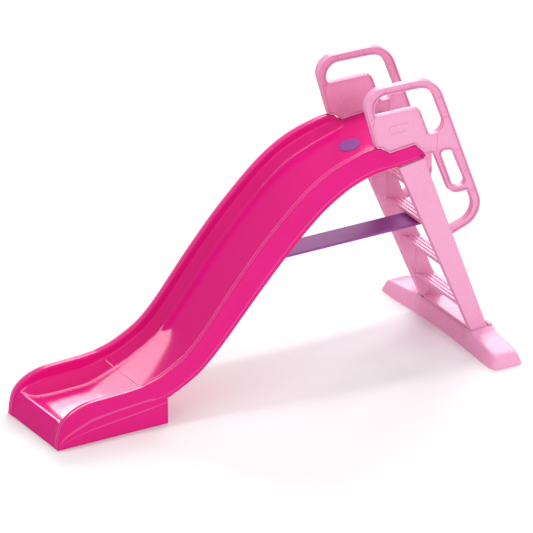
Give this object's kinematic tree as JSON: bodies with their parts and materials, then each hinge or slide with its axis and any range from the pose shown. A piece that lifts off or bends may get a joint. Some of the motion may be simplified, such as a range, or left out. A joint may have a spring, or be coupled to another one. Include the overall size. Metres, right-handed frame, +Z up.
{
  "type": "toddler slide",
  "caption": "Free-standing toddler slide: open-backed plastic chute in two sections, moulded ladder on a wide foot bar, looped handrails, brace board and capped hose port.",
  "frame": {"origin": "on the ground under the middle of the bounding box, on the slide's middle plane", "axes": "+X from the run-out towards the ladder, +Y across the slide to the right of a child going down, +Z up"},
  "size_m": [1.868, 0.834, 1.1451],
  "materials": {
    "slide_plastic": "glossy magenta blow-moulded plastic",
    "frame_plastic": "satin pale pink moulded plastic",
    "trim_plastic": "satin purple moulded plastic",
    "screw_steel": "zinc-plated steel"
  },
  "bodies": {
    "slide_frame": {"base_bar": "frame_plastic", "base_screw_left_1": "screw_steel", "base_screw_left_2": "screw_steel", "base_screw_right_1": "screw_steel", "base_screw_right_2": "screw_steel", "brace_board": "trim_plastic", "brace_screw_chute_left": "screw_steel", "brace_screw_chute_right": "screw_steel", "brace_screw_ladder_left": "screw_steel", "brace_screw_ladder_right": "screw_steel", "chute_lower": "slide_plastic", "chute_upper": "slide_plastic", "handrail_left": "frame_plastic", "handrail_right": "frame_plastic", "handrail_screw_chute_left": "screw_steel", "handrail_screw_chute_right": "screw_steel", "handrail_screw_ladder_left_1": "screw_steel", "handrail_screw_ladder_left_2": "screw_steel", "handrail_screw_ladder_right_1": "screw_steel", "handrail_screw_ladder_right_2": "screw_steel", "hose_socket": "trim_plastic", "ladder": "frame_plastic", "ladder_screw_chute_left_1": "screw_steel", "ladder_screw_chute_left_2": "screw_steel", "ladder_screw_chute_right_1": "screw_steel", "ladder_screw_chute_right_2": "screw_steel", "seam_bolt_1": "screw_steel", "seam_bolt_2": "screw_steel", "seam_bolt_3": "screw_steel", "seam_nut_1": "screw_steel", "seam_nut_2": "screw_steel", "seam_nut_3": "screw_steel"},
    "cap": {"port_cap": "trim_plastic"}
  },
  "joints": [
    {"name": "cap_lift", "type": "slide", "parent": "slide_frame", "child": "cap", "axis": [-0.2588, 0, 0.9659], "range_m": [0, 0.06]}
  ]
}
